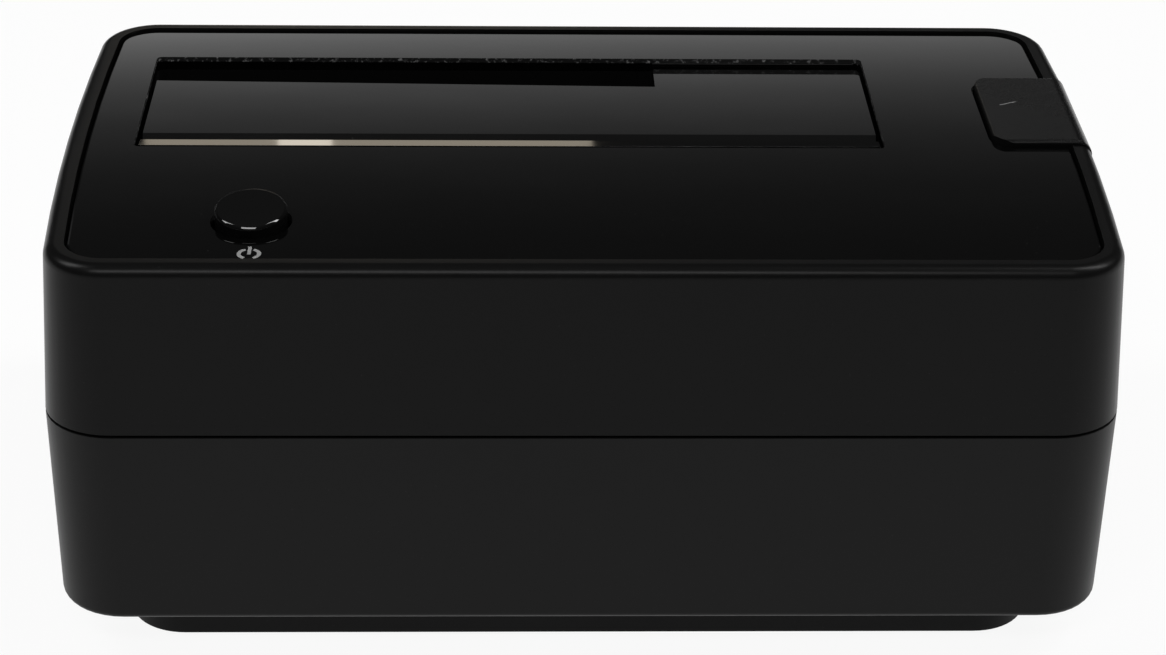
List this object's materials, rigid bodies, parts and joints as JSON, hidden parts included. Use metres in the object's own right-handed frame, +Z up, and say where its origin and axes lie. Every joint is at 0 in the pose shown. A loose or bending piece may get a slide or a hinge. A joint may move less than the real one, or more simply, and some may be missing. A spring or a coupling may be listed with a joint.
{
  "type": "hard drive docking station",
  "caption": "Desktop cradle for a bare 3.5 or 2.5 inch drive: gloss top with a sprung slot flap, power and eject buttons, USB and power sockets at the back.",
  "frame": {"origin": "middle of the footprint, on the plane that the rubber feet stand on", "axes": "+X to the right along the body's width, +Y to the back, where the sockets are, +Z up"},
  "size_m": [0.1436, 0.0846, 0.0608],
  "materials": {
    "upper_plastic": "fine matt moulded black plastic",
    "lower_plastic": "fine matt moulded charcoal plastic",
    "base_plastic": "matt black moulded plastic",
    "foot_rubber": "soft black rubber",
    "panel_gloss": "piano black gloss",
    "well_plastic": "matt black moulded plastic",
    "flap_gloss": "gloss black",
    "button_gloss": "gloss black",
    "eject_plastic": "satin black moulded plastic",
    "part_plastic": "moulded black plastic",
    "pale_plastic": "natural white plastic",
    "board_green": "solder mask over glass epoxy",
    "lead_red": "wire insulation",
    "pin_steel": "ground steel",
    "spring_steel": "drawn spring wire",
    "socket_steel": "bright plated steel",
    "screw_steel": "zinc plated",
    "can_metal": "bare aluminium can",
    "contact_gold": "gold flash"
  },
  "bodies": {
    "housing": {"upper_shell": "upper_plastic", "lower_shell": "lower_plastic", "base_plate": "base_plastic", "rubber_feet": "foot_rubber", "top_panel": "panel_gloss", "drive_well": "well_plastic", "hinge_pin": "pin_steel", "flap_spring": "spring_steel", "power_switch": "part_plastic", "switch_board": "board_green", "switch_lead": "lead_red", "lead_plug": "pale_plastic", "eject_spring": "spring_steel", "lever_pin": "pin_steel", "main_board": "board_green", "sata_connector": "part_plastic", "sata_contacts": "contact_gold", "usb_shell": "socket_steel", "usb_tongue": "pale_plastic", "power_inlet": "part_plastic", "inlet_pin": "socket_steel", "bridge_chip": "part_plastic", "crystal": "socket_steel", "inductor": "part_plastic", "capacitors": "can_metal", "shell_screws": "screw_steel", "base_screws": "screw_steel", "well_screws": "screw_steel", "board_screws": "screw_steel", "switch_screws": "screw_steel"},
    "flap": {"slot_flap": "flap_gloss"},
    "power_key": {"power_button": "button_gloss", "switch_plunger": "pale_plastic"},
    "eject_key": {"eject_button": "eject_plastic"},
    "ejector": {"eject_lever": "part_plastic"}
  },
  "joints": [
    {"name": "flap_hinge", "type": "hinge", "parent": "housing", "child": "flap", "pos_m": [-0.0096, -0.0006, 0.0551], "axis": [-1, 0, 0], "range_deg": [0, 88], "stiffness_Nm_per_rad": 0.01, "springref_deg": -45.84, "deforming": ["flap_spring"]},
    {"name": "power_press", "type": "slide", "parent": "housing", "child": "power_key", "axis": [0, 0, -1], "range_m": [0, 0.002], "stiffness_N_per_m": 600, "springref_m": -0.001},
    {"name": "eject_press", "type": "slide", "parent": "housing", "child": "eject_key", "axis": [0, 0, -1], "range_m": [0, 0.005], "stiffness_N_per_m": 600, "springref_m": -0.003, "deforming": ["eject_spring"]},
    {"name": "lever_pivot", "type": "hinge", "parent": "housing", "child": "ejector", "pos_m": [0.0299, 0.0084, 0.0157], "axis": [0, 1, 0], "range_deg": [0, 9.2]}
  ],
  "couplings": [
    {"joint": "lever_pivot", "follows": "eject_press", "rad_per_m": 31.571}
  ]
}
